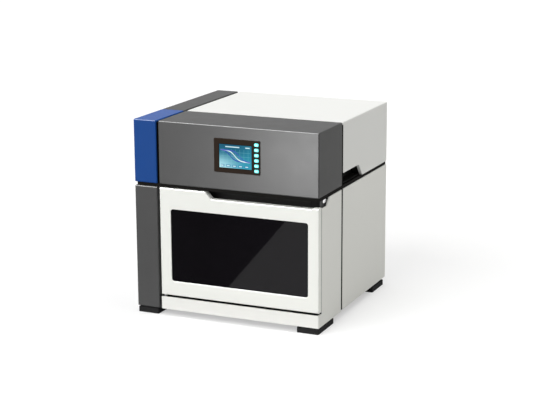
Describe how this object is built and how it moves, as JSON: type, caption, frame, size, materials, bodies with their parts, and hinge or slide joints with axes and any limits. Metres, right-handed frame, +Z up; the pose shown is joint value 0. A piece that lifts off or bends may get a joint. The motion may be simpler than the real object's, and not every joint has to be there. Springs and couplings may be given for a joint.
{
  "type": "nucleic acid extractor",
  "caption": "Bench-top magnetic-rod nucleic acid extractor: boxy housing with a hinged glazed door, plate tray, lift with rods, and an operator panel with keys.",
  "frame": {"origin": "centre of the footprint at the table, midway between the front and rear extremes", "axes": "+Z up, the door and operator panel face -Y, +X is the right-hand side of someone who faces the door"},
  "size_m": [0.45, 0.437, 0.452],
  "materials": {
    "sheet_steel_black": "black powder coat",
    "foot_rubber": "matt",
    "dark_cover": "fine satin grain",
    "blue_cover": "fine satin grain",
    "white_cover": "satin",
    "side_cover": "satin",
    "black_plastic": "matt",
    "dark_frame": "satin",
    "steel": "ground",
    "sheet_steel": "satin",
    "machined_aluminium": "clear anodised",
    "heater_aluminium": "bead blasted",
    "motor_black": "satin",
    "lamp_glass": "clear",
    "white_plastic": "satin",
    "bezel_black": "satin",
    "screen_glass": "glossy display",
    "circuit_board": "solder mask",
    "door_white": "satin gloss",
    "window_glass": "dark tinted gloss",
    "seal_rubber": "matt",
    "polished_metal": "polished",
    "rod_steel": "nickel plated",
    "key_cyan": "translucent"
  },
  "bodies": {
    "housing": {"base_pan": "sheet_steel_black", "feet": "foot_rubber", "left_lower_cover": "dark_cover", "corner_cover": "blue_cover", "left_upper_cover": "dark_cover", "head_cover": "dark_cover", "top_cover": "white_cover", "side_grip_cup": "black_plastic", "right_rear_cover": "side_cover", "front_frame": "side_cover", "door_surround": "black_plastic", "grip_trough": "black_plastic", "latch_body": "black_plastic", "mid_frame": "dark_frame", "joint_arch": "black_plastic", "hinge_pins": "steel", "chassis_left": "sheet_steel_black", "chassis_right": "sheet_steel_black", "deck": "sheet_steel", "lift_wall_plate": "machined_aluminium", "linear_rails": "steel", "drive_motors": "motor_black", "screw_bearings": "machined_aluminium", "uv_lamp": "lamp_glass", "lamp_holders": "white_plastic", "panel_bezel": "bezel_black", "screen": "screen_glass", "rear_panel": "sheet_steel", "fan_frame": "black_plastic", "fan_guard": "steel", "power_inlet": "black_plastic", "comm_port": "steel", "rear_screws": "steel", "power_supply": "sheet_steel", "control_board": "circuit_board"},
    "door": {"door_frame": "door_white", "door_window": "window_glass", "door_liner": "white_plastic", "pane_retainer": "black_plastic", "door_gasket": "seal_rubber", "door_strike": "steel"},
    "release_button": {"release_button": "polished_metal"},
    "tray": {"tray": "machined_aluminium", "heater_bars": "heater_aluminium"},
    "tray_screw": {"tray_screw": "steel"},
    "lift_carriage": {"lift_carriage": "machined_aluminium", "rod_rails": "steel", "rod_motor": "motor_black"},
    "lift_screw": {"lift_screw": "steel"},
    "rod_carriage": {"rod_carriage": "machined_aluminium", "magnet_rods": "rod_steel"},
    "rod_screw": {"rod_screw": "steel"},
    "fan_rotor": {"fan_rotor": "black_plastic"},
    "power_switch": {"power_switch": "black_plastic"},
    "key_1": {"key_1": "key_cyan"},
    "key_2": {"key_2": "key_cyan"},
    "key_3": {"key_3": "key_cyan"},
    "key_4": {"key_4": "key_cyan"},
    "key_5": {"key_5": "key_cyan"},
    "key_6": {"key_6": "key_cyan"}
  },
  "joints": [
    {"name": "door_hinge", "type": "hinge", "parent": "housing", "child": "door", "pos_m": [-0.1565, -0.206, 0.17], "axis": [0, 0, -1], "range_deg": [0, 95]},
    {"name": "door_release_press", "type": "slide", "parent": "housing", "child": "release_button", "axis": [-1, 0, 0], "range_m": [0, 0.002], "stiffness_N_per_m": 600},
    {"name": "tray_slide", "type": "slide", "parent": "housing", "child": "tray", "axis": [0, 1, 0], "range_m": [0, 0.135]},
    {"name": "tray_screw_spin", "type": "hinge", "parent": "housing", "child": "tray_screw", "pos_m": [0.03175, -0.05, 0.068], "axis": [0, 1, 0], "continuous": true},
    {"name": "lift_slide", "type": "slide", "parent": "housing", "child": "lift_carriage", "axis": [0, 0, -1], "range_m": [0, 0.054]},
    {"name": "lift_screw_spin", "type": "hinge", "parent": "housing", "child": "lift_screw", "pos_m": [0.03175, 0.08385, 0.25], "axis": [0, 0, 1], "continuous": true},
    {"name": "rod_slide", "type": "slide", "parent": "lift_carriage", "child": "rod_carriage", "axis": [0, 0, -1], "range_m": [0, 0.05]},
    {"name": "rod_screw_spin", "type": "hinge", "parent": "lift_carriage", "child": "rod_screw", "pos_m": [0.03175, 0.03, 0.25], "axis": [0, 0, 1], "continuous": true},
    {"name": "fan_spin", "type": "hinge", "parent": "housing", "child": "fan_rotor", "pos_m": [0.12, 0.2, 0.185], "axis": [0, 1, 0], "continuous": true},
    {"name": "power_switch_rock", "type": "hinge", "parent": "housing", "child": "power_switch", "pos_m": [-0.189, 0.2115, 0.091], "axis": [-1, 0, 0], "range_deg": [0, 14]},
    {"name": "key_1_press", "type": "slide", "parent": "housing", "child": "key_1", "axis": [0, 1, 0], "range_m": [0, 0.0006], "stiffness_N_per_m": 500},
    {"name": "key_2_press", "type": "slide", "parent": "housing", "child": "key_2", "axis": [0, 1, 0], "range_m": [0, 0.0006], "stiffness_N_per_m": 500},
    {"name": "key_3_press", "type": "slide", "parent": "housing", "child": "key_3", "axis": [0, 1, 0], "range_m": [0, 0.0006], "stiffness_N_per_m": 500},
    {"name": "key_4_press", "type": "slide", "parent": "housing", "child": "key_4", "axis": [0, 1, 0], "range_m": [0, 0.0006], "stiffness_N_per_m": 500},
    {"name": "key_5_press", "type": "slide", "parent": "housing", "child": "key_5", "axis": [0, 1, 0], "range_m": [0, 0.0006], "stiffness_N_per_m": 500},
    {"name": "key_6_press", "type": "slide", "parent": "housing", "child": "key_6", "axis": [0, 1, 0], "range_m": [0, 0.0006], "stiffness_N_per_m": 500}
  ],
  "couplings": [
    {"joint": "tray_screw_spin", "follows": "tray_slide", "rad_per_m": 785.4},
    {"joint": "lift_screw_spin", "follows": "lift_slide", "rad_per_m": 785.4},
    {"joint": "rod_screw_spin", "follows": "rod_slide", "rad_per_m": 785.4}
  ]
}
